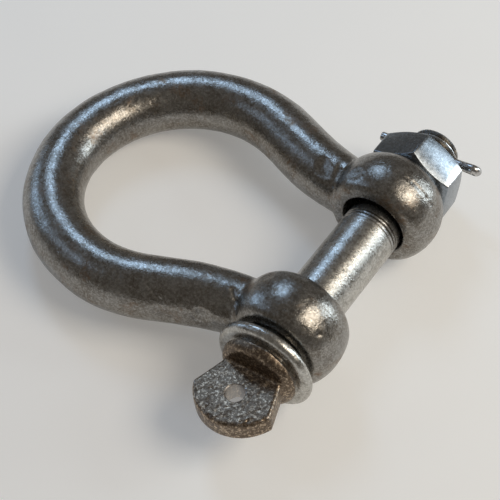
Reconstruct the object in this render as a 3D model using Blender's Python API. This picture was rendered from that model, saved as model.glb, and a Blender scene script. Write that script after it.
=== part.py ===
"""Bow shackle: a forged bow, a collared eye pin, a hexagon nut and a split pin.

It lies flat, as on a bench. +Y runs along the pin from its eye tab to its nut, -X points to the bow's crown and +Z is up.
The lowest points of the two ears and of the crown touch z = 0, and the origin is under the middle of the whole shackle.
Each part is drawn about the point where its own axis lies at rest, and is then placed from the centre of the jaw.
"""

import math

import bmesh
import bpy
from mathutils import Matrix, Vector

MM = 0.001
GAP = 0.3 * MM  # left between pieces that bear on each other

# The bow. Its centreline is round at the crown, eases into a slight reverse bend, and ends at the ears.
BAR_RADIUS = 11.65 * MM
NECK_RADIUS = 10.5 * MM
CROWN_RADIUS = 48.1 * MM
CROWN_ARC = 87.0 * MM
EASE_ARC = 24.2 * MM
NECK_ARC = 37.5 * MM
NECK_BEND_RADIUS = 91.0 * MM
JAW_WIDTH = 44.0 * MM
EAR_THICKNESS = 22.2 * MM
EAR_RADIUS = 20.7 * MM
EAR_FACE_RADIUS = 15.4 * MM
EAR_HOLE_RADIUS = 12.6 * MM

# The pin, from its eye tab to its threaded end. It lies off-centre in the ears' larger holes.
PIN_RADIUS = 11.0 * MM
PIN_DROP = Vector((0.8, 0.0, -0.85)) * MM
COLLAR_GAP = 3.0 * MM
COLLAR_RADIUS = 18.6 * MM
COLLAR_THICKNESS = 4.4 * MM
BOSS_RADIUS = 15.0 * MM
BOSS_LENGTH = 4.8 * MM
BOSS_EDGE = 1.2 * MM
TAB_THICKNESS = 7.9 * MM
TAB_ROOT_WIDTH = 23.0 * MM
TAB_WIDTH = 31.0 * MM
TAB_SHOULDER = 12.7 * MM  # from the boss to the tab's widest place
TAB_LENGTH = 23.0 * MM  # from the boss to the tab's end
TAB_EDGE = 1.2 * MM
TAB_EYE_RADIUS = 3.5 * MM
TAB_EYE_DISTANCE = 10.3 * MM  # from the boss
TAB_ANGLE = math.radians(8)  # the tab's rise from level, towards +X
SHANK_END = 23.4 * MM  # just inside the far ear, where the thinner stem begins
SHANK_CHAMFER = 1.0 * MM
STEM_END = 40.0 * MM
STEM_CHAMFER = 0.8 * MM
GROOVES = (17.9 * MM, 19.7 * MM)
GROOVE_DEPTH = 0.45 * MM
GROOVE_WIDTH = 0.9 * MM
PIN_END = 70.0 * MM
PIN_END_CHAMFER = 1.2 * MM

# The thread, M20 x 2.5, right-handed. THREAD_CLEARANCE is taken off the pin and added to the nut, in radius.
PITCH = 2.5 * MM
THREAD_RADIUS = 10.0 * MM
THREAD_DEPTH = 1.353 * MM
THREAD_CLEARANCE = 0.15 * MM
CREST_SHARE = 0.125  # share of the pitch that the crest's flat takes
ROOT_SHARE = 0.25
THREAD_START = 41.3 * MM

# The nut
NUT_ACROSS_FLATS = 32.0 * MM
NUT_HEIGHT = 15.5 * MM
NUT_ANGLE = math.radians(29.5)  # one corner's rise from +X
NUT_CHAMFER_ANGLE = math.radians(30)
NUT_FACE_INSET = 2.0 * MM  # from the flats to the round edge of the nut's faces
NUT_MOUTH_RADIUS = 10.8 * MM

# The split pin: two half-round legs and an eye of one wire, in a cross hole that is level with the tab
SPLIT_PIN_HOLE_RADIUS = 2.25 * MM
SPLIT_PIN_POSITION = 65.5 * MM
SPLIT_PIN_RADIUS = 1.8 * MM
LEG_GAP = 0.3 * MM
LONG_LEG_END = -22.0 * MM
SHORT_LEG_END = -19.5 * MM
SPLIT_PIN_NECK = 11.4 * MM
SPLIT_PIN_EYE_CENTRE = 17.6 * MM
SPLIT_PIN_EYE_RADIUS = 1.75 * MM  # inside
SPLIT_PIN_ROLL = math.radians(125)  # the eye's plane, turned about the split pin from +Y

# How finely the round pieces are drawn
ARM_STEPS = 30
BAR_SIDES = 20
EAR_SIDES = 32
EAR_PROFILE_STEPS = 8
PIN_SIDES = 32
COLLAR_RIM_STEPS = 5
TAB_END_STEPS = 12
HOLE_SIDES = 20
WIRE_SIDES = 6
EYE_STEPS = 12
NECK_STEPS = 4
WELD = 0.002 * MM
OVERRUN = 5.0 * MM  # how far a cutter runs past what it cuts
SHARP_ANGLE = 40  # degrees
NUT_SHARP_ANGLE = 25
WIRE_SHARP_ANGLE = 50
TAB_SHARP_ANGLE = 60

# Worked out from the sizes above
EAR_CENTRE = (JAW_WIDTH + EAR_THICKNESS) / 2
EAR_OUTER_FACE = EAR_CENTRE + EAR_THICKNESS / 2
COLLAR_FACE = -EAR_OUTER_FACE - COLLAR_GAP
BOSS_END = COLLAR_FACE - COLLAR_THICKNESS - BOSS_LENGTH
TAB_END = BOSS_END - TAB_LENGTH
NUT_FACE = EAR_OUTER_FACE + GAP
PIN_CREST_RADIUS = THREAD_RADIUS - THREAD_CLEARANCE
PIN_ROOT_RADIUS = PIN_CREST_RADIUS - THREAD_DEPTH
NUT_GROOVE_RADIUS = THREAD_RADIUS + THREAD_CLEARANCE
NUT_BORE_RADIUS = NUT_GROOVE_RADIUS - THREAD_DEPTH
TAB_ACROSS = Vector((math.cos(TAB_ANGLE), 0, math.sin(TAB_ANGLE)))
ALONG_PIN = Vector((0, 1, 0))


def clear_scene():
    for thing in list(bpy.data.objects):
        bpy.data.objects.remove(thing)


def steel(name, colour, roughness):
    """A metal of one colour."""
    material = bpy.data.materials.new(name)
    material.use_nodes = True
    shader = material.node_tree.nodes["Principled BSDF"]
    shader.inputs["Base Color"].default_value = (*colour, 1)
    shader.inputs["Metallic"].default_value = 1.0
    shader.inputs["Roughness"].default_value = roughness
    material.diffuse_color = (*colour, 1)
    return material


def solid(name, points, faces, parent=None, material=None):
    """A closed mesh object from points and faces, welded and with its faces pointing out."""
    mesh = bpy.data.meshes.new(name)
    mesh.from_pydata([tuple(point) for point in points], [], faces)
    body = bmesh.new()
    body.from_mesh(mesh)
    bmesh.ops.remove_doubles(body, verts=body.verts, dist=WELD)
    bmesh.ops.recalc_face_normals(body, faces=body.faces)
    body.to_mesh(mesh)
    body.free()
    if material:
        mesh.materials.append(material)
    thing = bpy.data.objects.new(name, mesh)
    bpy.context.collection.objects.link(thing)
    thing.parent = parent
    return thing


def grid_faces(rows, columns):
    """Quads between neighbouring rows of points."""
    faces = []
    for row in range(rows - 1):
        for column in range(columns - 1):
            corner = row * columns + column
            faces.append((corner, corner + 1, corner + columns + 1, corner + columns))
    return faces


def round_point(radius, along, turn):
    """A point at a distance from the Y axis, turned about it from +Z towards +X."""
    return Vector((radius * math.sin(turn), along, radius * math.cos(turn)))


def turned(profile, sides):
    """Points and faces of a solid turned about the Y axis, from (along, radius) rows.

    A row can also be a function of the turn that returns (along, radius), which is how a thread's helix is drawn.
    """
    points = []
    for row in profile:
        for side in range(sides + 1):
            turn = 2 * math.pi * side / sides
            along, radius = row(turn) if callable(row) else row
            points.append(round_point(radius, along, turn))
    faces = grid_faces(len(profile), sides + 1)
    faces.append(tuple(range(sides)))
    last = (len(profile) - 1) * (sides + 1)
    faces.append(tuple(range(last, last + sides)))
    return points, faces


def thread_rows(start, end, root_radius, crest_radius):
    """Rows of a right-hand thread between two places on the Y axis: the corners of its ridge, turn after turn."""
    flank_share = (1 - CREST_SHARE - ROOT_SHARE) / 2
    corners = (
        (0, root_radius),
        (flank_share, crest_radius),
        (flank_share + CREST_SHARE, crest_radius),
        (1 - ROOT_SHARE, root_radius),
    )

    def helix(place, radius):
        def row(turn):
            along = place + PITCH * turn / (2 * math.pi)
            if along <= start or along >= end:
                return min(max(along, start), end), root_radius
            return along, radius

        return row

    first = math.floor(start / PITCH) - 1
    last = math.ceil(end / PITCH)
    return [
        helix(PITCH * (number + share), radius)
        for number in range(first, last)
        for share, radius in corners
    ]


def half_circle(steps):
    """Angles from -90 to 90 degrees."""
    return [math.pi * (step / steps - 0.5) for step in range(steps + 1)]


def tool(thing):
    """Marks an object as a shape that only adds to, or cuts, another."""
    thing.hide_render = True
    thing.display_type = "WIRE"
    return thing


def combine(thing, operand, operation):
    """Joins another closed solid to this one, or cuts it away, with a Boolean modifier."""
    modifier = thing.modifiers.new(operand.name, "BOOLEAN")
    modifier.operation = operation
    modifier.solver = "EXACT"
    modifier.object = tool(operand)


def shade(thing, angle=SHARP_ANGLE):
    """Smooth shading with sharp edges where the surface turns by more than the angle, in degrees."""
    thing.data.shade_smooth()
    thing.data.set_sharp_from_angle(angle=math.radians(angle))


def bend(distance):
    """Curvature of the bow's centreline at a distance along it from the crown's middle."""
    if distance < CROWN_ARC:
        return 1 / CROWN_RADIUS
    share = min((distance - CROWN_ARC) / EASE_ARC, 1)
    return (1 - share) / CROWN_RADIUS - share / NECK_BEND_RADIUS


def arm_stations():
    """Places along one arm from the crown's middle to its ear: (reach, side, heading, bar radius).

    Reach is measured from the ears' axis towards the crown, side from the plane between the arms, and heading is the
    angle that the bar has turned from its direction at the crown.
    """
    step = (CROWN_ARC + EASE_ARC + NECK_ARC) / ARM_STEPS
    reach, side, heading = 0.0, 0.0, 0.0
    path = [(reach, side, heading)]
    for number in range(ARM_STEPS):
        turn = bend((number + 0.5) * step) * step
        reach -= math.sin(heading + turn / 2) * step
        side += math.cos(heading + turn / 2) * step
        heading += turn
        path.append((reach, side, heading))
    stations = []
    for place, (along, across, angle) in enumerate(path):
        taper = max(0.0, 1 - (ARM_STEPS - place) * step / NECK_ARC)
        radius = BAR_RADIUS + (NECK_RADIUS - BAR_RADIUS) * taper
        # the small difference between the arc's end and the ear's centre is spread along the arm
        drift = (EAR_CENTRE - path[-1][1]) * place / ARM_STEPS
        stations.append((along - reach, across + drift, angle, radius))
    return stations


BOW_REACH = arm_stations()[0][0]
TILT = math.asin((EAR_RADIUS - BAR_RADIUS) / BOW_REACH)


def bar_ring(station, mirror):
    """A ring of points round the bar: mirror is 1 for the arm at +Y and -1 for the arm at -Y."""
    reach, side, heading, radius = station
    outward = Vector((-math.cos(heading), mirror * math.sin(heading), 0))
    centre = Vector((-reach, mirror * side, 0))
    ring = []
    for number in range(BAR_SIDES):
        angle = 2 * math.pi * number / BAR_SIDES
        ring.append(centre + radius * (math.cos(angle) * outward + math.sin(angle) * Vector((0, 0, 1))))
    return ring + ring[:1]


def bow_bar(name, parent, material):
    """The round bar from ear to ear, tilted so that its crown comes down to the ground."""
    arm = arm_stations()
    rings = [bar_ring(station, -1) for station in reversed(arm)] + [bar_ring(station, 1) for station in arm[1:]]
    lean = Matrix.Rotation(-TILT, 4, "Y")
    points = [lean @ point for ring in rings for point in ring]
    faces = grid_faces(len(rings), BAR_SIDES + 1)
    faces.append(tuple(range(BAR_SIDES)))
    last = (len(rings) - 1) * (BAR_SIDES + 1)
    faces.append(tuple(range(last, last + BAR_SIDES)))
    return solid(name, points, faces, parent, material)


def ear(name, parent, centre):
    """One ear: a barrel with a bulging rim and two flat faces."""
    half = EAR_THICKNESS / 2
    bulge = EAR_RADIUS - EAR_FACE_RADIUS
    profile = [
        (centre + half * math.sin(angle), EAR_FACE_RADIUS + bulge * math.cos(angle))
        for angle in half_circle(EAR_PROFILE_STEPS)
    ]
    return solid(name, *turned(profile, EAR_SIDES), parent)


def make_bow(parent, material):
    bow = bow_bar("bow", parent, material)
    combine(bow, ear("near_ear_shape", parent, -EAR_CENTRE), "UNION")
    combine(bow, ear("far_ear_shape", parent, EAR_CENTRE), "UNION")
    reach = EAR_OUTER_FACE + OVERRUN
    drill = turned([(-reach, EAR_HOLE_RADIUS), (reach, EAR_HOLE_RADIUS)], EAR_SIDES)
    combine(bow, solid("ear_hole_shape", *drill, parent), "DIFFERENCE")
    shade(bow)
    return bow


def groove(place):
    """A shallow turned groove round the shank."""
    half = GROOVE_WIDTH / 2
    bottom = PIN_RADIUS - GROOVE_DEPTH
    return [
        (place - half, PIN_RADIUS),
        (place - half / 2, bottom),
        (place + half / 2, bottom),
        (place + half, PIN_RADIUS),
    ]


def pin_profile():
    """Rows of the pin from the boss to the threaded end, without the tab."""
    rim = COLLAR_THICKNESS / 2
    rim_centre = COLLAR_FACE - rim
    rows = [(BOSS_END, BOSS_RADIUS - BOSS_EDGE), (BOSS_END + BOSS_EDGE, BOSS_RADIUS)]
    rows.append((COLLAR_FACE - COLLAR_THICKNESS, BOSS_RADIUS))
    for angle in half_circle(COLLAR_RIM_STEPS):
        rows.append((rim_centre + rim * math.sin(angle), COLLAR_RADIUS - rim + rim * math.cos(angle)))
    rows.append((COLLAR_FACE, PIN_RADIUS))
    for place in GROOVES:
        rows.extend(groove(place))
    rows.append((SHANK_END - SHANK_CHAMFER, PIN_RADIUS))
    rows.append((SHANK_END, PIN_CREST_RADIUS))
    rows.append((STEM_END, PIN_CREST_RADIUS))
    rows.append((STEM_END + STEM_CHAMFER, PIN_ROOT_RADIUS))
    rows.append((THREAD_START, PIN_ROOT_RADIUS))
    thread_end = PIN_END - PIN_END_CHAMFER
    rows.extend(thread_rows(THREAD_START, thread_end, PIN_ROOT_RADIUS, PIN_CREST_RADIUS))
    rows.append((thread_end, PIN_ROOT_RADIUS))
    rows.append((PIN_END, PIN_ROOT_RADIUS - PIN_END_CHAMFER / 2))
    return rows


def tab_outline():
    """The tab's outline as (across, along the pin): straight flaring sides and a round end."""
    half = TAB_WIDTH / 2
    shoulder = BOSS_END - TAB_SHOULDER
    rise = TAB_LENGTH - TAB_SHOULDER
    radius = (half**2 + rise**2) / (2 * rise)
    sweep = math.asin(half / radius)
    inside_boss = BOSS_END + BOSS_LENGTH / 2
    outline = [(TAB_ROOT_WIDTH / 2, inside_boss), (TAB_ROOT_WIDTH / 2, BOSS_END)]
    for number in range(TAB_END_STEPS + 1):
        angle = sweep * (1 - 2 * number / TAB_END_STEPS)
        outline.append((radius * math.sin(angle), shoulder - rise + radius - radius * math.cos(angle)))
    outline += [(-TAB_ROOT_WIDTH / 2, BOSS_END), (-TAB_ROOT_WIDTH / 2, inside_boss)]
    return outline


def tab(name, parent):
    """The flat tab, rounded along its edges by a Bevel."""
    normal = TAB_ACROSS.cross(ALONG_PIN)
    outline = tab_outline()
    points = [
        TAB_ACROSS * across + ALONG_PIN * along + normal * height
        for height in (-TAB_THICKNESS / 2, TAB_THICKNESS / 2)
        for across, along in outline
    ]
    count = len(outline)
    faces = [tuple(range(count)), tuple(range(count, 2 * count))]
    for number in range(count):
        following = (number + 1) % count
        faces.append((number, following, count + following, count + number))
    plate = solid(name, points, faces, parent)
    bevel = plate.modifiers.new("rounded_edges", "BEVEL")
    bevel.width = TAB_EDGE
    bevel.segments = 2
    bevel.limit_method = "ANGLE"
    bevel.angle_limit = math.radians(TAB_SHARP_ANGLE)
    return plate


def drill_along(name, direction, centre, radius, half_length, parent):
    """A round cutter along any direction."""
    rotation = ALONG_PIN.rotation_difference(direction).to_matrix().to_4x4()
    points, faces = turned([(-half_length, radius), (half_length, radius)], HOLE_SIDES)
    return solid(name, [rotation @ point + centre for point in points], faces, parent)


def make_pin(parent, material):
    pin = solid("pin", *turned(pin_profile(), PIN_SIDES), parent, material)
    combine(pin, tab("tab_shape", pin), "UNION")
    eye_centre = ALONG_PIN * (BOSS_END - TAB_EYE_DISTANCE)
    across_tab = TAB_ACROSS.cross(ALONG_PIN)
    eye = drill_along("tab_eye_shape", across_tab, eye_centre, TAB_EYE_RADIUS, TAB_THICKNESS, pin)
    combine(pin, eye, "DIFFERENCE")
    hole_centre = ALONG_PIN * SPLIT_PIN_POSITION
    hole = drill_along(
        "split_pin_hole_shape", TAB_ACROSS, hole_centre, SPLIT_PIN_HOLE_RADIUS, 2 * PIN_RADIUS, pin
    )
    combine(pin, hole, "DIFFERENCE")
    shade(pin)
    return pin


def nut_blank(parent, material):
    """The hexagon prism before its corners are chamfered and its bore is cut."""
    corner_radius = NUT_ACROSS_FLATS / 2 / math.cos(math.pi / 6)
    corners = []
    for along in (NUT_FACE, NUT_FACE + NUT_HEIGHT):
        for number in range(6):
            angle = NUT_ANGLE + number * math.pi / 3
            corners.append(Vector((corner_radius * math.cos(angle), along, corner_radius * math.sin(angle))))
    faces = [tuple(range(6)), tuple(range(6, 12))]
    for number in range(6):
        following = (number + 1) % 6
        faces.append((number, following, 6 + following, 6 + number))
    return solid("nut", corners, faces, parent, material)


def nut_chamfers(parent):
    """A turned body that leaves the hexagon's faces round and cuts its corners back."""
    face_radius = NUT_ACROSS_FLATS / 2 - NUT_FACE_INSET
    outer_face = NUT_FACE + NUT_HEIGHT
    slope = 1 / math.tan(NUT_CHAMFER_ANGLE)
    rise = NUT_HEIGHT / 4
    beyond = NUT_FACE_INSET / 2
    profile = [
        (NUT_FACE - beyond, face_radius - beyond * slope),
        (NUT_FACE + rise, face_radius + rise * slope),
        (outer_face - rise, face_radius + rise * slope),
        (outer_face + beyond, face_radius - beyond * slope),
    ]
    return solid("nut_chamfer_shape", *turned(profile, 2 * PIN_SIDES), parent)


def nut_thread(parent):
    """A threaded rod that cuts the nut's thread, longer than the nut at both ends."""
    start, end = NUT_FACE - PITCH, NUT_FACE + NUT_HEIGHT + PITCH
    thread = thread_rows(start, end, NUT_BORE_RADIUS, NUT_GROOVE_RADIUS)
    profile = [(start, NUT_BORE_RADIUS), *thread, (end, NUT_BORE_RADIUS)]
    return solid("nut_thread_shape", *turned(profile, PIN_SIDES), parent)


def nut_mouths(parent):
    """A waisted body that countersinks both ends of the bore."""
    waist_radius = NUT_BORE_RADIUS - THREAD_DEPTH
    depth = NUT_MOUTH_RADIUS - waist_radius
    outer_face = NUT_FACE + NUT_HEIGHT
    profile = [
        (NUT_FACE - depth, NUT_MOUTH_RADIUS + depth),
        (NUT_FACE + depth, waist_radius),
        (outer_face - depth, waist_radius),
        (outer_face + depth, NUT_MOUTH_RADIUS + depth),
    ]
    return solid("nut_mouth_shape", *turned(profile, PIN_SIDES), parent)


def make_nut(parent, material):
    nut = nut_blank(parent, material)
    combine(nut, nut_chamfers(nut), "INTERSECT")
    combine(nut, nut_thread(nut), "DIFFERENCE")
    combine(nut, nut_mouths(nut), "DIFFERENCE")
    shade(nut, NUT_SHARP_ANGLE)
    return nut


def wire_path():
    """The inner face of the split pin's wire, from the long leg's tip round the eye to the short leg's tip.

    Each entry is (along the pin, aside, heading).
    """
    aside = LEG_GAP / 2
    neck = []
    length = SPLIT_PIN_EYE_CENTRE - SPLIT_PIN_NECK
    swell = SPLIT_PIN_EYE_RADIUS - aside
    for step in range(NECK_STEPS):
        share = step / NECK_STEPS
        slope = 6 * share * (1 - share) * swell / length
        neck.append((SPLIT_PIN_NECK + length * share, aside + swell * share**2 * (3 - 2 * share), math.atan(slope)))
    path = [(LONG_LEG_END, aside, 0)] + neck
    for step in range(EYE_STEPS + 1):
        angle = math.pi / 2 - math.pi * step / EYE_STEPS
        along = SPLIT_PIN_EYE_CENTRE + SPLIT_PIN_EYE_RADIUS * math.cos(angle)
        path.append((along, SPLIT_PIN_EYE_RADIUS * math.sin(angle), angle - math.pi / 2))
    path += [(along, -side, math.pi - heading) for along, side, heading in reversed(neck)]
    path.append((SHORT_LEG_END, -aside, math.pi))
    return path


def make_split_pin(parent, material):
    """The wire's half-round section, carried along its path with the flat side inwards."""
    upright = Matrix.Rotation(SPLIT_PIN_ROLL, 3, TAB_ACROSS) @ ALONG_PIN
    crosswise = TAB_ACROSS.cross(upright)
    points = []
    for along, side, heading in wire_path():
        place = TAB_ACROSS * along + upright * side
        outward = upright * math.cos(heading) - TAB_ACROSS * math.sin(heading)
        for angle in half_circle(WIRE_SIDES):
            rise = SPLIT_PIN_RADIUS * math.cos(angle) - LEG_GAP / 2
            points.append(place + outward * max(rise, 0) + crosswise * SPLIT_PIN_RADIUS * math.sin(angle))
        points.append(points[-WIRE_SIDES - 1])
    columns = WIRE_SIDES + 2
    rows = len(points) // columns
    faces = grid_faces(rows, columns)
    faces.append(tuple(range(columns - 1)))
    faces.append(tuple(range((rows - 1) * columns, rows * columns - 1)))
    split_pin = solid("split_pin", points, faces, parent, material)
    shade(split_pin, WIRE_SHARP_ANGLE)
    return split_pin


def place_shackle():
    """An empty at the centre of the jaw, set so that the origin is under the middle of the whole shackle."""
    split_pin_reach = SPLIT_PIN_EYE_CENTRE + SPLIT_PIN_EYE_RADIUS + SPLIT_PIN_RADIUS - LEG_GAP / 2
    highest_x = PIN_DROP.x + split_pin_reach * math.cos(TAB_ANGLE)
    lowest_x = -BOW_REACH * math.cos(TILT) - BAR_RADIUS
    jaw = bpy.data.objects.new("jaw_centre", None)
    bpy.context.collection.objects.link(jaw)
    jaw.location = (-(lowest_x + highest_x) / 2, -(TAB_END + PIN_END) / 2, EAR_RADIUS)
    return jaw


def main():
    clear_scene()
    jaw = place_shackle()
    make_bow(jaw, steel("galvanised_forging", (0.30, 0.29, 0.27), 0.45))
    pin = make_pin(jaw, steel("galvanised_pin", (0.42, 0.41, 0.38), 0.35))
    nut = make_nut(jaw, steel("bright_zinc", (0.62, 0.64, 0.66), 0.28))
    for thing in (pin, nut):
        thing.location = PIN_DROP
    split_pin = make_split_pin(jaw, steel("zinc_wire", (0.60, 0.61, 0.62), 0.25))
    split_pin.location = PIN_DROP + ALONG_PIN * SPLIT_PIN_POSITION


main()
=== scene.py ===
"""Bow shackle, its looks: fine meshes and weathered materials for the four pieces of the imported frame.

Shapes are made in millimetres about the middle of the jaw: +Y runs along the pin to its nut, -X to the
crown, +Z up. The main sizes repeat the CAD model's. Each fine piece replaces the CAD node of the same name
and rides on its body.
"""

import math

import bmesh
import bpy
import numpy as np
from mathutils import Matrix, Vector, noise


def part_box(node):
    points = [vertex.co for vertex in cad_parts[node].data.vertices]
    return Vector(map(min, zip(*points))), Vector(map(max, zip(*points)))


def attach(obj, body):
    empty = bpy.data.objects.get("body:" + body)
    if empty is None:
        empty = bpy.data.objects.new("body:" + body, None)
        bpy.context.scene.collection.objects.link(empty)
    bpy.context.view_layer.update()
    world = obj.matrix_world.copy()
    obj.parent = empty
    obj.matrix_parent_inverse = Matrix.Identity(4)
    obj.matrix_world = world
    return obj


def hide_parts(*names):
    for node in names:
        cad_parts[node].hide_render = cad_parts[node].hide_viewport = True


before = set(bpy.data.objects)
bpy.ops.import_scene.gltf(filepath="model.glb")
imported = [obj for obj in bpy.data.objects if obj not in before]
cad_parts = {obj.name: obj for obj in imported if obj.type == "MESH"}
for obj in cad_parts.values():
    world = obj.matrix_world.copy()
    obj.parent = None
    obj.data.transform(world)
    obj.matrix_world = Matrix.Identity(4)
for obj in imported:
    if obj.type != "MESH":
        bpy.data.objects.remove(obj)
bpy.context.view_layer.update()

MM = 0.001
WELD_DISTANCE = 0.002

# The bow
BAR_RADIUS = 11.65
NECK_RADIUS = 10.5
CROWN_RADIUS = 48.1
CROWN_ARC = 87.0
EASE_ARC = 24.2
NECK_ARC = 37.5
NECK_BEND_RADIUS = 91.0
JAW_WIDTH = 44.0
EAR_THICKNESS = 22.2
EAR_RADIUS = 20.7
EAR_FACE_RADIUS = 15.4
EAR_HOLE_RADIUS = 12.6
EAR_CENTRE = (JAW_WIDTH + EAR_THICKNESS) / 2
EAR_OUTER_FACE = EAR_CENTRE + EAR_THICKNESS / 2
HOLE_CHAMFER = 0.5

# The pin, about its own axis
PIN_DROP = Vector((0.8, 0.0, -0.85))
PIN_RADIUS = 11.0
COLLAR_FACE = -EAR_OUTER_FACE - 3.0
COLLAR_RADIUS = 18.6
COLLAR_THICKNESS = 4.4
BOSS_RADIUS = 15.0
BOSS_END = COLLAR_FACE - COLLAR_THICKNESS - 4.8
TAB_THICKNESS = 7.9
TAB_ROOT_WIDTH = 23.0
TAB_WIDTH = 31.0
TAB_SHOULDER = 12.7
TAB_LENGTH = 23.0
TAB_EYE_RADIUS = 3.5
TAB_EYE_DISTANCE = 10.3
TAB_ANGLE = math.radians(8)
SHANK_END = 23.4
STEM_END = 40.0
PIN_END = 70.0
PIN_END_CHAMFER = 1.6

# The thread
PITCH = 2.5
PIN_CREST_RADIUS = 9.85
PIN_ROOT_RADIUS = 8.5
NUT_GROOVE_RADIUS = 10.15
NUT_BORE_RADIUS = 8.8
THREAD_START = 41.3
CREST_SHARE = 0.125
ROOT_SHARE = 0.25

# The nut
NUT_ACROSS_FLATS = 32.0
NUT_HEIGHT = 15.5
NUT_FACE = EAR_OUTER_FACE + 0.3
NUT_ANGLE = math.radians(29.5)
NUT_CHAMFER_ANGLE = math.radians(30)
NUT_FACE_INSET = 2.0
NUT_MOUTH_RADIUS = 10.8

# The split pin
SPLIT_PIN_HOLE_RADIUS = 2.25
SPLIT_PIN_POSITION = 65.5
SPLIT_PIN_RADIUS = 1.8
LEG_GAP = 0.3
LONG_LEG_END = -22.0
SHORT_LEG_END = -19.5
SPLIT_PIN_NECK = 11.4
SPLIT_PIN_EYE_CENTRE = 17.6
SPLIT_PIN_EYE_RADIUS = 1.75
SPLIT_PIN_ROLL = math.radians(125)

TAB_ACROSS = Vector((math.cos(TAB_ANGLE), 0, math.sin(TAB_ANGLE)))
ALONG_PIN = Vector((0, 1, 0))
TAB_NORMAL = TAB_ACROSS.cross(ALONG_PIN)


# ---- placing -------------------------------------------------------------------------------------

def jaw_centre():
    """The middle of the jaw, in metres, from the nut's middle, the pin's end and the ears on the ground."""
    low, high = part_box("nut")
    pin_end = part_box("pin")[1].y
    return Vector(((low.x + high.x) / 2 - PIN_DROP.x * MM, pin_end - PIN_END * MM, EAR_RADIUS * MM))


JAW = jaw_centre()


def place(thing, offset=Vector()):
    """Scales a piece from millimetres about the jaw's middle to metres in the frame."""
    thing.data.transform(Matrix.Translation(JAW + offset * MM) @ Matrix.Scale(MM, 4))
    return thing


# ---- mesh tools ----------------------------------------------------------------------------------

def solid(name, points, faces):
    """A closed mesh object from points and faces, welded and with its faces pointing out."""
    mesh = bpy.data.meshes.new(name)
    mesh.from_pydata([tuple(point) for point in points], [], faces)
    body = bmesh.new()
    body.from_mesh(mesh)
    bmesh.ops.remove_doubles(body, verts=body.verts, dist=WELD_DISTANCE)
    bmesh.ops.recalc_face_normals(body, faces=body.faces)
    body.to_mesh(mesh)
    body.free()
    thing = bpy.data.objects.new(name, mesh)
    bpy.context.scene.collection.objects.link(thing)
    return thing


def settle(thing):
    """Applies a piece's modifiers."""
    evaluated = thing.evaluated_get(bpy.context.evaluated_depsgraph_get())
    mesh = bpy.data.meshes.new_from_object(evaluated)
    old = thing.data
    thing.modifiers.clear()
    thing.data = mesh
    bpy.data.meshes.remove(old)
    return thing


def combine(thing, operand, operation):
    """Joins another closed solid to this one, or cuts it away, and removes it."""
    modifier = thing.modifiers.new("combine", "BOOLEAN")
    modifier.operation = operation
    modifier.solver = "EXACT"
    modifier.object = operand
    settle(thing)
    bpy.data.objects.remove(operand)
    return thing


def remesh(thing, voxel):
    """An even skin of small quads over the piece."""
    modifier = thing.modifiers.new("remesh", "REMESH")
    modifier.mode = "VOXEL"
    modifier.voxel_size = voxel
    return settle(thing)


def bevel(thing, width, segments, angle):
    """Rounds the edges where the surface turns by more than the angle, in degrees."""
    modifier = thing.modifiers.new("bevel", "BEVEL")
    modifier.width = width
    modifier.segments = segments
    modifier.limit_method = "ANGLE"
    modifier.angle_limit = math.radians(angle)
    return settle(thing)


def shade(thing, angle):
    """Smooth shading with sharp edges where the surface turns by more than the angle, in degrees."""
    thing.data.shade_smooth()
    thing.data.set_sharp_from_angle(angle=math.radians(angle))
    return thing


def grid_faces(rows, columns):
    """Quads between neighbouring rows of points."""
    faces = []
    for row in range(rows - 1):
        for column in range(columns - 1):
            corner = row * columns + column
            faces.append((corner, corner + 1, corner + columns + 1, corner + columns))
    return faces


def turned(profile, sides):
    """Points and faces of a solid turned about the Y axis, from (along, radius) rows.

    A row can also be a function of the turn, which is how a thread's helix is drawn.
    """
    points = []
    for row in profile:
        for side in range(sides + 1):
            turn = 2 * math.pi * side / sides
            along, radius = row(turn) if callable(row) else row
            points.append(Vector((radius * math.sin(turn), along, radius * math.cos(turn))))
    faces = grid_faces(len(profile), sides + 1)
    faces.append(tuple(range(sides)))
    last = (len(profile) - 1) * (sides + 1)
    faces.append(tuple(range(last, last + sides)))
    return points, faces


def half_circle(steps):
    """Angles from -90 to 90 degrees."""
    return [math.pi * (step / steps - 0.5) for step in range(steps + 1)]


def smoothstep(low, high, value):
    share = np.clip((value - low) / (high - low), 0, 1)
    return share * share * (3 - 2 * share)


def positions(mesh):
    flat = np.empty(len(mesh.vertices) * 3)
    mesh.vertices.foreach_get("co", flat)
    return flat.reshape(-1, 3)


def normals(mesh):
    flat = np.empty(len(mesh.vertices) * 3)
    mesh.vertex_normals.foreach_get("vector", flat)
    return flat.reshape(-1, 3)


def set_positions(mesh, points):
    mesh.vertices.foreach_set("co", np.ascontiguousarray(points, np.float32).ravel())
    mesh.update()


def relax(mesh, weight, rounds):
    """Evens out the surface where weight is above 0: vertices move towards the middle of their neighbours."""
    edges = np.empty(len(mesh.edges) * 2, int)
    mesh.edges.foreach_get("vertices", edges)
    first, second = edges[0::2], edges[1::2]
    points = positions(mesh)
    count = np.bincount(edges, minlength=len(points))[:, None]
    for _ in range(rounds):
        total = np.zeros_like(points)
        for axis in range(3):
            total[:, axis] = np.bincount(first, points[second, axis], len(points))
            total[:, axis] += np.bincount(second, points[first, axis], len(points))
        points += weight[:, None] * 0.5 * (total / count - points)
    set_positions(mesh, points)


def uneven(points, size, offset):
    """Smooth noise from about -1 to 1 at each point, with bumps of about the size."""
    shift = Vector((offset, 3 * offset, 7 * offset))
    return np.array([noise.noise(Vector(point) / size + shift) for point in points])


def pits(points, spacing, radius, offset):
    """How deep each point lies in a scatter of round pits, from 0 to 1."""
    shift = Vector((offset, 5 * offset, 2 * offset))
    near = np.array([noise.voronoi(Vector(point) / spacing + shift)[0][0] for point in points])
    return 1 - smoothstep(0.0, radius / spacing, near)


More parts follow.
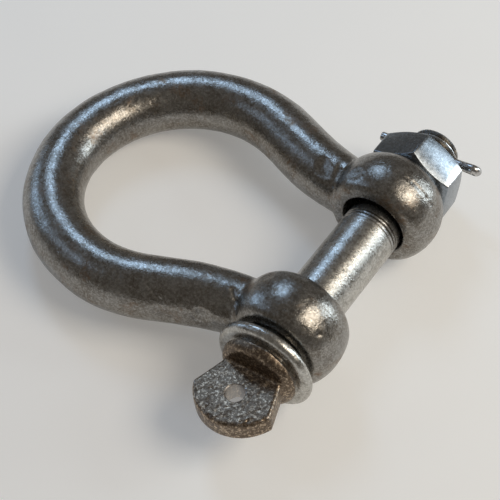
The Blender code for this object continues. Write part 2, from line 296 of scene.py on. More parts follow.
def push(mesh, heights):
    """Moves each vertex out along its normal."""
    set_positions(mesh, positions(mesh) + normals(mesh) * heights[:, None])


def scratch(points, start, end, width):
    """How deep each point lies in a scratch between two places, from 0 to 1."""
    start, run = np.array(start), np.array(end) - np.array(start)
    share = np.clip((points - start) @ run / (run @ run), 0, 1)
    distance = np.linalg.norm(points - start - share[:, None] * run, axis=1)
    return np.exp(-((distance / width) ** 2))


def flatten(mesh, centre, facing, radius, depth):
    """Hammers a flat facet: near the centre, what stands above the facet's plane comes down to it."""
    points = positions(mesh)
    facing = np.array(facing) / np.linalg.norm(facing)
    offset = points - np.array(centre)
    above = np.maximum(offset @ facing + depth, 0)
    reach = smoothstep(radius, 0.3 * radius, np.linalg.norm(offset, axis=1))
    set_positions(mesh, points - (above * reach)[:, None] * facing)


# ---- the bow -------------------------------------------------------------------------------------

ARM_STEPS = 110
BAR_SIDES = 56
EAR_STEPS = 28
EAR_SIDES = 112
BORE_SIDES = 128
BOW_VOXEL = 0.65


def bend_of(distance):
    """Curvature of the bow's centreline at a distance along it from the crown's middle."""
    if distance < CROWN_ARC:
        return 1 / CROWN_RADIUS
    share = min((distance - CROWN_ARC) / EASE_ARC, 1)
    return (1 - share) / CROWN_RADIUS - share / NECK_BEND_RADIUS


def arm_stations():
    """Places along one arm from the crown's middle to its ear: (reach, side, heading, bar radius)."""
    step = (CROWN_ARC + EASE_ARC + NECK_ARC) / ARM_STEPS
    reach, side, heading = 0.0, 0.0, 0.0
    path = [(reach, side, heading)]
    for number in range(ARM_STEPS):
        turn = bend_of((number + 0.5) * step) * step
        reach -= math.sin(heading + turn / 2) * step
        side += math.cos(heading + turn / 2) * step
        heading += turn
        path.append((reach, side, heading))
    stations = []
    for number, (along, across, angle) in enumerate(path):
        taper = max(0.0, 1 - (ARM_STEPS - number) * step / NECK_ARC)
        radius = BAR_RADIUS + (NECK_RADIUS - BAR_RADIUS) * taper
        drift = (EAR_CENTRE - path[-1][1]) * number / ARM_STEPS
        stations.append((along - reach, across + drift, angle, radius))
    return stations


def bar_ring(station, mirror):
    """A ring of points round the bar: mirror is 1 for the arm at +Y and -1 for the arm at -Y."""
    reach, side, heading, radius = station
    outward = Vector((-math.cos(heading), mirror * math.sin(heading), 0))
    centre = Vector((-reach, mirror * side, 0))
    ring = []
    for number in range(BAR_SIDES):
        angle = 2 * math.pi * number / BAR_SIDES
        ring.append(centre + radius * (math.cos(angle) * outward + math.sin(angle) * Vector((0, 0, 1))))
    return ring + ring[:1]


def bow_bar():
    """The round bar from ear to ear, tilted so that its crown comes down to the ground."""
    arm = arm_stations()
    tilt = math.asin((EAR_RADIUS - BAR_RADIUS) / arm[0][0])
    rings = [bar_ring(station, -1) for station in reversed(arm)]
    rings += [bar_ring(station, 1) for station in arm[1:]]
    lean = Matrix.Rotation(-tilt, 4, "Y")
    points = [lean @ point for ring in rings for point in ring]
    faces = grid_faces(len(rings), BAR_SIDES + 1)
    faces.append(tuple(range(BAR_SIDES)))
    last = (len(rings) - 1) * (BAR_SIDES + 1)
    faces.append(tuple(range(last, last + BAR_SIDES)))
    return solid("fine_bow", points, faces)


def ear_barrel(centre):
    """One ear: a barrel with a bulging rim and two flat faces."""
    half = EAR_THICKNESS / 2
    bulge = EAR_RADIUS - EAR_FACE_RADIUS
    profile = [
        (centre + half * math.sin(angle), EAR_FACE_RADIUS + bulge * math.cos(angle))
        for angle in half_circle(EAR_STEPS)
    ]
    return solid("ear", *turned(profile, EAR_SIDES))


def ear_bores():
    """The drill for both ears' holes, widened where it meets the four faces."""
    rows = []
    wide = EAR_HOLE_RADIUS + 2 * HOLE_CHAMFER
    inner_face = JAW_WIDTH / 2
    for face, side in ((-EAR_OUTER_FACE, -1), (-inner_face, 1), (inner_face, -1), (EAR_OUTER_FACE, 1)):
        inside, outside = face - side * HOLE_CHAMFER, face + side * HOLE_CHAMFER
        rows += sorted([(inside, EAR_HOLE_RADIUS), (outside, wide)])
    return solid("bores", *turned(rows, BORE_SIDES))


# The places in the next two tables and FOLD_PLACE began as a scratch program's look-ups of the marks in the
# reference photograph, and were partly moved by eye. They are data, and not a rule of the forging's shape.
# Facets left by the hammer: centre, facing, radius, depth
FACETS = (
    ((-34, -50.0, -2.5), (0.30, -0.94, 0.02), 12.0, 0.55),
    ((-27.5, -46.6, 1.0), (0.20, -0.95, 0.25), 4.5, 0.45),
    ((-21.5, -43.2, 5.2), (0.10, -0.70, 0.70), 4.5, 0.40),
    ((-24.8, 30.3, 8.2), (-0.30, -0.50, 0.80), 6.0, 0.35),
    ((-18.0, 29.0, 10.5), (-0.80, -0.20, 0.55), 5.0, 0.25),
    ((-12.0, 27.5, 15.6), (-0.55, -0.30, 0.78), 6.0, 0.20),
    ((-13.0, -28.0, 15.2), (-0.60, 0.15, 0.78), 6.0, 0.20),
    ((-21.0, -24.5, 2.0), (0.05, 1.0, 0.20), 5.0, 0.40),
)
# Scratches and folds: start, end, width, depth
SCRATCHES = (
    ((-48.8, -49.6, 6.4), (-42.3, -51.0, 3.6), 0.55, 0.40),
    ((-21.7, -36.4, 9.4), (-18.6, -39.3, 8.8), 0.70, 0.65),
    ((-18.6, -39.3, 8.8), (-15.8, -43.0, 7.8), 0.60, 0.55),
    ((-21.4, 33.0, 9.6), (-19.6, 25.4, 5.6), 0.60, 0.45),
    ((13.8, -38.6, 14.5), (14.6, -37.9, 14.0), 0.60, 0.35),
    ((0.5, -39.4, 19.8), (2.6, -39.0, 19.7), 0.40, 0.25),
    ((7.2, -41.0, 17.0), (9.0, -40.6, 16.4), 0.45, 0.30),
)
FOLD_PLACE = 33.2  # of the broken line round the far ear


def forge(thing):
    """The forging's blended necks, hammered facets and unevenness, scale pits, scratches and folds."""
    mesh = thing.data
    points = positions(mesh)
    from_ear = np.hypot(points[:, 0], points[:, 2])
    seam = smoothstep(4.5, 1.0, np.abs(from_ear - EAR_RADIUS)) * (points[:, 0] < -5)
    relax(mesh, 0.15 + 0.75 * seam, 6)
    for facet in FACETS:
        flatten(mesh, *facet)
    relax(mesh, np.full(len(points), 0.4), 1)
    points = positions(mesh)
    rough = 1 - 0.85 * smoothstep(17.0, 15.0, from_ear)
    heights = 0.28 * uneven(points, 21, 1) + 0.12 * uneven(points, 8, 2) + 0.06 * uneven(points, 2.6, 3)
    heights -= 0.18 * pits(points, 6.0, 1.4, 4) * (uneven(points, 15, 5) > 0.02)
    for start, end, width, depth in SCRATCHES:
        heights -= depth * scratch(points, start, end, width)
    fold = np.exp(-(((points[:, 1] - FOLD_PLACE) / 0.45) ** 2)) * smoothstep(-2, 1, points[:, 0])
    heights -= 0.32 * fold * (points[:, 2] > 5) * smoothstep(-0.15, 0.15, uneven(points, 1.6, 6))
    push(mesh, heights * rough)


def make_bow():
    bow = bow_bar()
    combine(bow, ear_barrel(-EAR_CENTRE), "UNION")
    combine(bow, ear_barrel(EAR_CENTRE), "UNION")
    remesh(bow, BOW_VOXEL)
    forge(bow)
    combine(bow, ear_bores(), "DIFFERENCE")
    shade(bow, 50)
    return place(bow)


# ---- the pin -------------------------------------------------------------------------------------

PIN_SIDES = 96
HEAD_SIDES = 128
DRILL_SIDES = 64
SPLIT_PIN_DRILL_SIDES = 40
RIM_STEPS = 14
TAB_ROUND_STEPS = 40
TAB_EDGE = 1.1
TAB_EYE_CHAMFER = 0.4
HEAD_VOXEL = 0.4
STRAIGHT_END = 15.5  # of the plain shank, where its turned end begins
ROW_SPACING = 1.5
GROOVES = ((16.3, 0.30, 0.7), (17.9, 0.50, 0.9), (19.4, 0.45, 0.8))  # centre, depth, width


def thread_rows(start, end, root_radius, crest_radius, envelope=None):
    """Rows of a right-hand thread between two places on the Y axis, six to a turn."""
    flank = (1 - CREST_SHARE - ROOT_SHARE) / 2
    corners = (
        (0, 0.0),
        (flank / 2, 0.5),
        (flank, 1.0),
        (flank + CREST_SHARE, 1.0),
        (flank * 1.5 + CREST_SHARE, 0.5),
        (1 - ROOT_SHARE, 0.0),
    )

    def helix(along_at_top, height):
        def row(turn):
            along = along_at_top + PITCH * turn / (2 * math.pi)
            radius = root_radius + (crest_radius - root_radius) * height
            if along <= start or along >= end:
                return min(max(along, start), end), root_radius
            return along, min(radius, envelope(along)) if envelope else radius

        return row

    turns = range(math.floor(start / PITCH) - 1, math.ceil(end / PITCH))
    return [helix(PITCH * (number + share), height) for number in turns for share, height in corners]


def groove(centre, depth, width):
    """Rows of one turned groove."""
    return [
        (centre - width / 2, PIN_RADIUS),
        (centre - width / 4, PIN_RADIUS - depth),
        (centre + width / 4, PIN_RADIUS - depth),
        (centre + width / 2, PIN_RADIUS),
    ]


def shank():
    """The turned shank, its grooves, the step at the far ear, and the threaded end."""
    fillet = PIN_RADIUS + 0.7
    rows = [(COLLAR_FACE - 1.5, PIN_RADIUS - 1), (COLLAR_FACE - 1, fillet), (COLLAR_FACE, fillet)]
    rows.append((COLLAR_FACE + 0.8, PIN_RADIUS))
    rows += [(along, PIN_RADIUS) for along in np.arange(COLLAR_FACE + 2, STRAIGHT_END, ROW_SPACING)]
    for centre, depth, width in GROOVES:
        rows += groove(centre, depth, width)
    rows += [(22.0, PIN_RADIUS), (22.7, PIN_RADIUS - 0.15), (23.2, PIN_RADIUS - 0.55)]
    rows += [(SHANK_END, PIN_CREST_RADIUS), (STEM_END, PIN_CREST_RADIUS)]
    rows += [(STEM_END + 0.8, PIN_ROOT_RADIUS), (THREAD_START, PIN_ROOT_RADIUS)]
    thread_end = PIN_END - 0.4

    def envelope(along):
        return PIN_CREST_RADIUS - max(0, along - (PIN_END - PIN_END_CHAMFER))

    rows += thread_rows(THREAD_START, thread_end, PIN_ROOT_RADIUS, PIN_CREST_RADIUS, envelope)
    rows += [(thread_end, PIN_ROOT_RADIUS), (PIN_END, PIN_ROOT_RADIUS - 0.6)]
    return solid("fine_pin", *turned(rows, PIN_SIDES))


def head_profile():
    """Rows of the boss and the collar with its rolled rim, and of the hollow between them."""
    rim = COLLAR_THICKNESS / 2
    back = COLLAR_FACE - COLLAR_THICKNESS
    rows = [
        (BOSS_END, BOSS_RADIUS - 3.2),
        (BOSS_END + 0.5, BOSS_RADIUS - 1.9),
        (BOSS_END + 1.5, BOSS_RADIUS - 1.0),
        (BOSS_END + 3.0, BOSS_RADIUS - 0.4),
        (back - 1.3, BOSS_RADIUS - 0.3),
        (back - 0.6, BOSS_RADIUS - 1.6),
        (back, BOSS_RADIUS - 1.2),
    ]
    for angle in half_circle(RIM_STEPS):
        rows.append((COLLAR_FACE - rim + rim * math.sin(angle), COLLAR_RADIUS - rim + rim * math.cos(angle)))
    rows.append((COLLAR_FACE, PIN_RADIUS))
    return rows


def tab_outline():
    """The tab's outline as (across, along the pin): straight flaring sides and a round end."""
    half = TAB_WIDTH / 2
    shoulder = BOSS_END - TAB_SHOULDER
    rise = TAB_LENGTH - TAB_SHOULDER
    radius = (half**2 + rise**2) / (2 * rise)
    sweep = math.asin(half / radius)
    outline = [(TAB_ROOT_WIDTH / 2, BOSS_END + 3), (TAB_ROOT_WIDTH / 2, BOSS_END)]
    for number in range(TAB_ROUND_STEPS + 1):
        angle = sweep * (1 - 2 * number / TAB_ROUND_STEPS)
        outline.append((radius * math.sin(angle), shoulder - rise + radius - radius * math.cos(angle)))
    return outline + [(-TAB_ROOT_WIDTH / 2, BOSS_END), (-TAB_ROOT_WIDTH / 2, BOSS_END + 3)]


def tab_plate():
    """The flat tab, with its edges rounded."""
    outline = tab_outline()
    points = [
        TAB_ACROSS * across + ALONG_PIN * along + TAB_NORMAL * height
        for height in (-TAB_THICKNESS / 2, TAB_THICKNESS / 2)
        for across, along in outline
    ]
    count = len(outline)
    faces = [tuple(range(count)), tuple(range(count, 2 * count))]
    for number in range(count):
        following = (number + 1) % count
        faces.append((number, following, count + following, count + number))
    return bevel(solid("tab", points, faces), TAB_EDGE, 4, 60)


def drill(direction, centre, rows, sides=DRILL_SIDES):
    """A round cutter along any direction, from (along, radius) rows."""
    rotation = ALONG_PIN.rotation_difference(direction).to_matrix().to_4x4()
    points, faces = turned(rows, sides)
    return solid("drill", [rotation @ point + centre for point in points], faces)


def tab_eye_drill():
    """The drill for the tab's eye, widened where it meets both faces."""
    half = TAB_THICKNESS / 2
    inside = half - TAB_EYE_CHAMFER
    beyond = half + 2
    wide = TAB_EYE_RADIUS + 0.45 + 2
    rows = [(-beyond, wide), (-inside, TAB_EYE_RADIUS), (inside, TAB_EYE_RADIUS), (beyond, wide)]
    return drill(TAB_NORMAL, ALONG_PIN * (BOSS_END - TAB_EYE_DISTANCE), rows)


def forge_head(head):
    """The pin's head: a rough and pitted tab, and a smoother boss and collar."""
    mesh = head.data
    points = positions(mesh)
    root = smoothstep(3.5, 1.0, np.abs(points[:, 1] - BOSS_END))
    relax(mesh, 0.3 + 0.7 * root, 8)
    points = positions(mesh)
    on_tab = smoothstep(BOSS_END + 1, BOSS_END - 3, points[:, 1])
    height = points @ np.array(TAB_NORMAL)
    upper = smoothstep(2.5, 3.6, height)
    heights = 0.10 * uneven(points, 9, 11) + 0.04 * uneven(points, 2.2, 12)
    heights += on_tab * upper * (0.13 * uneven(points, 1.4, 13) + 0.16 * uneven(points, 4.5, 14) - 0.10)
    heights -= on_tab * upper * 0.34 * pits(points, 3.0, 0.9, 15) * (uneven(points, 6, 16) > -0.15)
    push(mesh, heights)


def make_pin():
    head = solid("head", *turned(head_profile(), HEAD_SIDES))
    combine(head, tab_plate(), "UNION")
    remesh(head, HEAD_VOXEL)
    forge_head(head)
    combine(head, tab_eye_drill(), "DIFFERENCE")
    pin = shank()
    combine(pin, head, "UNION")
    rows = [(-2 * PIN_RADIUS, SPLIT_PIN_HOLE_RADIUS), (2 * PIN_RADIUS, SPLIT_PIN_HOLE_RADIUS)]
    cross_hole = drill(TAB_ACROSS, ALONG_PIN * SPLIT_PIN_POSITION, rows, SPLIT_PIN_DRILL_SIDES)
    combine(pin, cross_hole, "DIFFERENCE")
    shade(pin, 38)
    return place(pin, PIN_DROP)


# ---- the nut -------------------------------------------------------------------------------------

NUT_SIDES = 144
NUT_THREAD_SIDES = 72
NUT_WAIST_INSET = 1.35
NUT_EDGE = 0.35


def nut_blank():
    """The hexagon prism."""
    corner_radius = NUT_ACROSS_FLATS / 2 / math.cos(math.pi / 6)
    corners = []
    for along in (NUT_FACE, NUT_FACE + NUT_HEIGHT):
        for number in range(6):
            angle = NUT_ANGLE + number * math.pi / 3
            corners.append(Vector((corner_radius * math.cos(angle), along, corner_radius * math.sin(angle))))
    faces = [tuple(range(6)), tuple(range(6, 12))]
    for number in range(6):
        following = (number + 1) % 6
        faces.append((number, following, 6 + following, 6 + number))
    return solid("fine_nut", corners, faces)


def nut_chamfers():
    """A turned body that leaves the hexagon's faces round and cuts its corners back."""
    face_radius = NUT_ACROSS_FLATS / 2 - NUT_FACE_INSET
    outer_face = NUT_FACE + NUT_HEIGHT
    slope = 1 / math.tan(NUT_CHAMFER_ANGLE)
    rise = NUT_HEIGHT / 4
    beyond = NUT_FACE_INSET / 2
    rows = [
        (NUT_FACE - beyond, face_radius - beyond * slope),
        (NUT_FACE + rise, face_radius + rise * slope),
        (outer_face - rise, face_radius + rise * slope),
        (outer_face + beyond, face_radius - beyond * slope),
    ]
    return solid("chamfers", *turned(rows, NUT_SIDES))


def nut_thread():
    """The thread's groove, as the body to cut away."""
    start, end = NUT_FACE - PITCH, NUT_FACE + NUT_HEIGHT + PITCH
    rows = [(start, NUT_BORE_RADIUS), *thread_rows(start, end, NUT_BORE_RADIUS, NUT_GROOVE_RADIUS)]
    return solid("thread", *turned([*rows, (end, NUT_BORE_RADIUS)], NUT_THREAD_SIDES))


def nut_mouths():
    """A waisted body that countersinks both ends of the bore."""
    waist = NUT_BORE_RADIUS - NUT_WAIST_INSET
    depth = NUT_MOUTH_RADIUS - waist
    outer = NUT_FACE + NUT_HEIGHT
    rows = [
        (NUT_FACE - depth, NUT_MOUTH_RADIUS + depth),
        (NUT_FACE + depth, waist),
        (outer - depth, waist),
        (outer + depth, NUT_MOUTH_RADIUS + depth),
    ]
    return solid("mouths", *turned(rows, NUT_THREAD_SIDES))


def make_nut():
    nut = nut_blank()
    combine(nut, nut_chamfers(), "INTERSECT")
    bevel(nut, NUT_EDGE, 3, 25)
    combine(nut, nut_thread(), "DIFFERENCE")
    combine(nut, nut_mouths(), "DIFFERENCE")
    shade(nut, 22)
    return place(nut, PIN_DROP)


# ---- the split pin -------------------------------------------------------------------------------

NECK_STEPS = 14
EYE_STEPS = 36
WIRE_SIDES = 16
LEG_STEPS = 12


def leg(end):
    """One straight leg from its tip to the neck."""
    reach = SPLIT_PIN_NECK - end
    return [(end + reach * step / LEG_STEPS, LEG_GAP / 2, 0.0) for step in range(LEG_STEPS)]


def wire_path():
    """The inner face of the wire, from the long leg's tip round the eye to the short leg's tip."""
    aside = LEG_GAP / 2
    neck = []
    length = SPLIT_PIN_EYE_CENTRE - SPLIT_PIN_NECK
    swell = SPLIT_PIN_EYE_RADIUS - aside
    for step in range(NECK_STEPS):
        share = step / NECK_STEPS
        slope = 6 * share * (1 - share) * swell / length
        side = aside + swell * share**2 * (3 - 2 * share)
        neck.append((SPLIT_PIN_NECK + length * share, side, math.atan(slope)))
    path = leg(LONG_LEG_END) + neck
    for step in range(EYE_STEPS + 1):
        angle = math.pi / 2 - math.pi * step / EYE_STEPS
        along = SPLIT_PIN_EYE_CENTRE + SPLIT_PIN_EYE_RADIUS * math.cos(angle)
        path.append((along, SPLIT_PIN_EYE_RADIUS * math.sin(angle), angle - math.pi / 2))
    back = neck[::-1] + leg(SHORT_LEG_END)[::-1]
    return path + [(along, -side, math.pi - heading) for along, side, heading in back]


def make_split_pin():
    """The wire's half-round section, carried along its path with the flat side inwards."""
    upright = Matrix.Rotation(SPLIT_PIN_ROLL, 3, TAB_ACROSS) @ ALONG_PIN
    crosswise = TAB_ACROSS.cross(upright)
    points = []
    for along, side, heading in wire_path():
        middle = TAB_ACROSS * along + upright * side
        outward = upright * math.cos(heading) - TAB_ACROSS * math.sin(heading)
        for angle in half_circle(WIRE_SIDES):
            rise = max(SPLIT_PIN_RADIUS * math.cos(angle) - LEG_GAP / 2, 0)
            points.append(middle + outward * rise + crosswise * SPLIT_PIN_RADIUS * math.sin(angle))
        points.append(points[-WIRE_SIDES - 1])
    columns = WIRE_SIDES + 2
    rows = len(points) // columns
    faces = grid_faces(rows, columns)
    faces.append(tuple(range(columns - 1)))
    faces.append(tuple(range((rows - 1) * columns, rows * columns - 1)))
    split_pin = solid("fine_split_pin", points, faces)
    bevel(split_pin, 0.3, 2, 70)
    shade(split_pin, 40)
    return place(split_pin, PIN_DROP + ALONG_PIN * SPLIT_PIN_POSITION)


# ---- materials -----------------------------------------------------------------------------------

class Nodes:
    """A material's nodes, made one after another. Sizes are in millimetres."""

    def __init__(self, name, metallic, roughness):
        self.material = bpy.data.materials.new(name)
        self.material.use_nodes = True
        self.tree = self.material.node_tree
        self.shader = self.tree.nodes["Principled BSDF"]
        self.shader.inputs["Metallic"].default_value = metallic
        self.shader.inputs["Roughness"].default_value = roughness
        self.place = self.tree.nodes.new("ShaderNodeTexCoord").outputs["Object"]

    def link(self, source, target):
        if isinstance(source, (int, float)):
            target.default_value = source
        elif isinstance(source, tuple):
            target.default_value = (*source, 1)
        else:
            self.tree.links.new(source, target)

    def noise(self, size, detail=3.0, rough=0.55, stretch=None):
        """Noise from 0 to 1 with features of about the size."""
        node = self.tree.nodes.new("ShaderNodeTexNoise")
        node.inputs["Scale"].default_value = 1 / (size * MM)
        node.inputs["Detail"].default_value = detail
        node.inputs["Roughness"].default_value = rough
        self.link(self.stretched(stretch) if stretch else self.place, node.inputs["Vector"])
        return node.outputs["Fac"]

    def stretched(self, factors):
        node = self.tree.nodes.new("ShaderNodeMapping")
        node.inputs["Scale"].default_value = factors
        self.link(self.place, node.inputs["Vector"])
        return node.outputs["Vector"]

    def ramp(self, value, low, high, bottom=0.0, top=1.0):
        """Spreads a value from low..high to bottom..top, and stops at both."""
        node = self.tree.nodes.new("ShaderNodeMapRange")
        for name, number in (("From Min", low), ("From Max", high), ("To Min", bottom), ("To Max", top)):
            node.inputs[name].default_value = number
        self.link(value, node.inputs["Value"])
        return node.outputs["Result"]

    def maths(self, operation, first, second):
        node = self.tree.nodes.new("ShaderNodeMath")
        node.operation = operation
        self.link(first, node.inputs[0])
        self.link(second, node.inputs[1])
        return node.outputs["Value"]

    def mix(self, share, first, second):
        """A colour between two colours."""
        node = self.tree.nodes.new("ShaderNodeMix")
        node.data_type = "RGBA"
        self.link(share, node.inputs["Factor"])
        self.link(first, node.inputs["A"])
        self.link(second, node.inputs["B"])
        return node.outputs["Result"]

    def edges(self):
        """Where the surface is convex, above 0.5, or hollow, below 0.5."""
        return self.tree.nodes.new("ShaderNodeNewGeometry").outputs["Pointiness"]

    def along_pin(self):
        """The distance along Y from the frame's origin, in metres."""
        node = self.tree.nodes.new("ShaderNodeSeparateXYZ")
        self.link(self.place, node.inputs["Vector"])
        return node.outputs["Y"]

    def bump(self, height, distance, strength=1.0, under=None):
        """A bump of up to the distance, on top of another bump."""
        node = self.tree.nodes.new("ShaderNodeBump")
        node.inputs["Strength"].default_value = strength
        node.inputs["Distance"].default_value = distance * MM
        self.link(height, node.inputs["Height"])
        if under:
            self.link(under, node.inputs["Normal"])
        return node.outputs["Normal"]

    def finish(self, colour, roughness, normal):
        self.link(colour, self.shader.inputs["Base Color"])
        self.link(roughness, self.shader.inputs["Roughness"])
        self.link(normal, self.shader.inputs["Normal"])
        return self.material


def galvanised_forging():
    """Weathered zinc on a forging: dull, mottled, with a fine sparkle, painted shade in the hollows and
    bright worn edges.
    """
    make = Nodes("galvanised_forging", 0.95, 0.3)
    mottle = make.ramp(make.noise(6.0, 6, 0.62), 0.36, 0.66)
    base = make.mix(mottle, (0.150, 0.132, 0.110), (0.250, 0.240, 0.224))
    grain = make.ramp(make.noise(0.8, 4, 0.78), 0.45, 0.62)
    base = make.mix(make.maths("MULTIPLY", grain, 0.55), base, (0.52, 0.51, 0.49))
    rust = make.ramp(make.noise(11.0, 7, 0.7), 0.55, 0.64)
    rust = make.maths("MULTIPLY", rust, make.ramp(make.noise(1.4, 4, 0.65), 0.42, 0.60, 0.15, 0.7))
    base = make.mix(rust, base, (0.19, 0.115, 0.062))
    worn = make.ramp(make.edges(), 0.52, 0.60)
    base = make.mix(make.maths("MULTIPLY", worn, 0.7), base, (0.62, 0.62, 0.61))
    # painted shade: the hollows of the forging are darkened in its colour
    hollow = make.ramp(make.edges(), 0.49, 0.43)
    base = make.mix(make.maths("MULTIPLY", hollow, 0.8), base, (0.06, 0.05, 0.042))
    rough = make.ramp(make.noise(2.0, 5, 0.65), 0.3, 0.7, 0.18, 0.36)
    rough = make.maths("ADD", rough, make.maths("MULTIPLY", rust, 0.25))
    lumps = make.bump(make.noise(3.4, 4, 0.55), 0.20, 0.55)
    fine = make.bump(make.noise(1.3, 3, 0.6), 0.13, 0.6, lumps)
    sparkle = make.bump(make.noise(0.6, 2, 0.6), 0.09, 0.75, fine)
    return make.finish(base, rough, sparkle)


def galvanised_pin():
    """Worn zinc: a smooth shank with fine scratches, and a rough, dark and pitted eye tab; painted shade
    darkens its hollows, its grooves and the shank beyond them.
    """
    make = Nodes("galvanised_pin", 0.95, 0.3)
    back = COLLAR_FACE - COLLAR_THICKNESS
    on_tab = make.ramp(make.along_pin(), JAW.y + back * MM, JAW.y + (back - 1.0) * MM)
    mottle = make.ramp(make.noise(4.0, 5, 0.6), 0.35, 0.65)
    base = make.mix(mottle, (0.25, 0.235, 0.21), (0.46, 0.45, 0.42))
    grain = make.ramp(make.noise(0.8, 3, 0.7), 0.40, 0.62)
    base = make.mix(make.maths("MULTIPLY", grain, 0.6), base, (0.72, 0.71, 0.68))
    speck = make.ramp(make.noise(1.1, 5, 0.8), 0.50, 0.66)
    dark = make.mix(speck, (0.105, 0.068, 0.040), (0.78, 0.62, 0.45))
    base = make.mix(make.maths("MULTIPLY", on_tab, 0.9), base, dark)
    # painted shade: from here along the pin, over its grooves and into the far ear's bore, the shank is
    # darkened
    painted_shade_from, painted_shade_to = 15, 18.5  # along the pin, towards its turned end
    painted_groove_shade = make.ramp(make.along_pin(), JAW.y + painted_shade_from * MM, JAW.y + painted_shade_to * MM)
    base = make.mix(make.maths("MULTIPLY", painted_groove_shade, 0.6), base, (0.13, 0.11, 0.09))
    worn = make.ramp(make.edges(), 0.52, 0.58)
    base = make.mix(make.maths("MULTIPLY", worn, 0.85), base, (0.68, 0.70, 0.72))
    # painted shade: the hollows of the pin are darkened in its colour
    hollow = make.ramp(make.edges(), 0.48, 0.42)
    base = make.mix(make.maths("MULTIPLY", hollow, 0.8), base, (0.06, 0.048, 0.038))
    rough = make.ramp(make.noise(1.8, 4, 0.6), 0.3, 0.7, 0.20, 0.36)
    rough = make.maths("ADD", rough, make.maths("MULTIPLY", on_tab, 0.10))
    lumps = make.bump(make.noise(2.6, 4, 0.6), 0.16, 0.5)
    rings = make.bump(make.noise(0.25, 2, 0.5, (0.05, 1, 0.05)), 0.02, 0.35, lumps)
    fine = make.bump(make.noise(1.2, 3, 0.6), 0.10, 0.6, rings)
    sparkle = make.bump(make.noise(0.55, 2, 0.6), 0.08, 0.75, fine)
    return make.finish(base, rough, sparkle)


def bright_zinc():
    """Bright zinc plating, bluish and satin, dulled in fine patches."""
    make = Nodes("bright_zinc", 1.0, 0.2)
    mottle = make.ramp(make.noise(1.2, 4, 0.6), 0.38, 0.60)
    base = make.mix(mottle, (0.19, 0.215, 0.24), (0.29, 0.32, 0.355))
    worn = make.ramp(make.edges(), 0.52, 0.60)
    base = make.mix(worn, base, (0.80, 0.80, 0.80))
    # painted shade: the hollows of the nut are darkened in its colour
    hollow = make.ramp(make.edges(), 0.48, 0.43)
    base = make.mix(hollow, base, (0.10, 0.09, 0.08))
    rough = make.ramp(make.noise(0.9, 3, 0.6), 0.3, 0.7, 0.17, 0.28)
    waves = make.bump(make.noise(3.5, 3, 0.5), 0.03, 0.4)
    sparkle = make.bump(make.noise(0.6, 2, 0.6), 0.015, 0.4, waves)
    return make.finish(base, rough, sparkle)


def zinc_wire():
    """Drawn wire, zinc plated: glossy, with fine lines along it."""
    make = Nodes("zinc_wire", 1.0, 0.25)
    mottle = make.ramp(make.noise(1.0, 4, 0.6), 0.35, 0.65)
    base = make.mix(mottle, (0.36, 0.35, 0.34), (0.64, 0.64, 0.64))
    # painted shade: the hollows of the wire, such as between its legs, are darkened in its colour
    hollow = make.ramp(make.edges(), 0.48, 0.43)
    base = make.mix(hollow, base, (0.12, 0.10, 0.08))
    rough = make.ramp(make.noise(0.8, 3, 0.6), 0.3, 0.7, 0.18, 0.36)
    lines = make.bump(make.noise(0.3, 2, 0.5, (0.08, 1, 1)), 0.02, 0.4)
    return make.finish(base, rough, lines)


# ---- the room ------------------------------------------------------------------------------------

CAMERA_AZIMUTH = math.radians(33.055)
CAMERA_ELEVATION = math.radians(52.46)
CAMERA_ROLL = math.radians(1.359)
CAMERA_DISTANCE = 484.676
CAMERA_AIM = Vector((-45, 0, 0))  # from the jaw's middle
CAMERA_SLIDE = (4.989, -15.109)  # of the aim, to the right and up in the picture
LENS = 94.677
LIGHT_DISTANCE = 1.0  # in metres
FLOOR_REACH = 2
FLOOR_DROP = 0.0002


def direction(azimuth, elevation):
    """A unit vector towards a place in the room: azimuth 0 is -Y, and 90 is +X, in degrees."""
    turn, rise = math.radians(azimuth), math.radians(elevation)
    return Vector((math.sin(turn) * math.cos(rise), -math.cos(turn) * math.cos(rise), math.sin(rise)))


def add_camera():
    """The camera at the reference view."""
    back = direction(math.degrees(CAMERA_AZIMUTH), math.degrees(CAMERA_ELEVATION))
    level = Vector((math.cos(CAMERA_AZIMUTH), math.sin(CAMERA_AZIMUTH), 0))
    upright = back.cross(level)
    right = math.cos(CAMERA_ROLL) * level + math.sin(CAMERA_ROLL) * upright
    up = math.cos(CAMERA_ROLL) * upright - math.sin(CAMERA_ROLL) * level
    aim = CAMERA_AIM + CAMERA_SLIDE[0] * right + CAMERA_SLIDE[1] * up
    camera = bpy.data.objects.new("camera", bpy.data.cameras.new("camera"))
    bpy.context.scene.collection.objects.link(camera)
    spot = JAW + (aim + back * CAMERA_DISTANCE) * MM
    camera.matrix_world = Matrix.Translation(spot) @ Matrix((right, up, back)).transposed().to_4x4()
    camera.data.lens = LENS
    camera.data.clip_start = 0.01
    bpy.context.scene.camera = camera


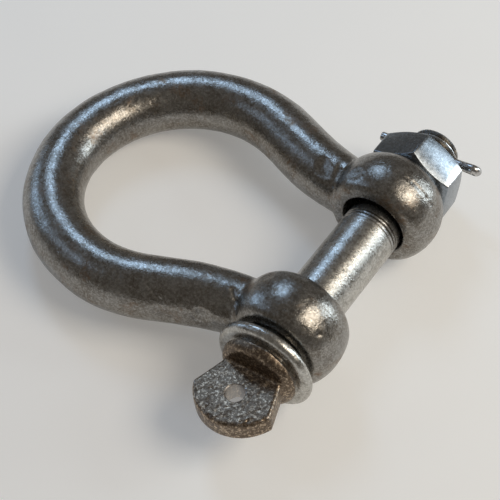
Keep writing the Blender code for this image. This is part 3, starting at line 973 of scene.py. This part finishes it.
def add_light(name, azimuth, elevation, size, power, colour):
    """A rectangular light that faces the shackle."""
    data = bpy.data.lights.new(name, "AREA")
    data.shape = "RECTANGLE"
    data.size, data.size_y = size
    data.energy = power
    data.color = colour
    light = bpy.data.objects.new(name, data)
    bpy.context.scene.collection.objects.link(light)
    towards = direction(azimuth, elevation)
    light.location = towards * LIGHT_DISTANCE
    light.rotation_euler = towards.to_track_quat("Z", "Y").to_euler()


def add_room():
    """A pale floor, a dim brownish world, and soft lights: warm on the right, cool behind and on the left."""
    world = bpy.data.worlds.new("room")
    world.use_nodes = True
    world.node_tree.nodes["Background"].inputs["Color"].default_value = (0.50, 0.46, 0.41, 1)
    world.node_tree.nodes["Background"].inputs["Strength"].default_value = 0.30
    bpy.context.scene.world = world
    bpy.context.scene.view_settings.view_transform = "Standard"
    low, high = -FLOOR_REACH, FLOOR_REACH
    floor = solid("floor", [(low, low, 0), (high, low, 0), (high, high, 0), (low, high, 0)], [(0, 1, 2, 3)])
    paper = Nodes("paper", 0.0, 0.8)
    tone = paper.mix(paper.noise(60.0, 2), (0.80, 0.80, 0.79), (0.84, 0.84, 0.83))
    paper.shader.inputs["Emission Color"].default_value = (1.0, 0.98, 0.95, 1)
    paper.shader.inputs["Emission Strength"].default_value = 0.20
    floor.data.materials.append(paper.finish(tone, 0.8, paper.bump(paper.noise(1.5), 0.01, 0.2)))
    floor.location.z = -FLOOR_DROP
    add_light("warm_window", 108, 49, (0.56, 0.44), 4.0, (1.0, 0.90, 0.76))
    add_light("pale_window", 137, 20, (0.24, 0.52), 2.3, (0.80, 0.92, 1.0))
    add_light("blue_window", 231, 47, (0.24, 0.34), 1.3, (0.48, 0.70, 1.0))
    add_light("low_blue_window", 270, 18, (0.40, 0.28), 0.85, (0.45, 0.68, 1.0))
    add_light("left_blue_window", 297, 38, (0.30, 0.20), 0.25, (0.50, 0.70, 1.0))


def main():
    pieces = (
        (make_bow, "bow", "galvanised_forging", galvanised_forging),
        (make_pin, "pin", "galvanised_pin", galvanised_pin),
        (make_nut, "nut", "bright_zinc", bright_zinc),
        (make_split_pin, "split_pin", "zinc_wire", zinc_wire),
    )
    for make, node, finish, material in pieces:
        piece = make()
        piece.data.materials.clear()
        piece.data.materials.append(material())
        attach(piece, node)
        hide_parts(node)
    add_room()
    add_camera()


main()
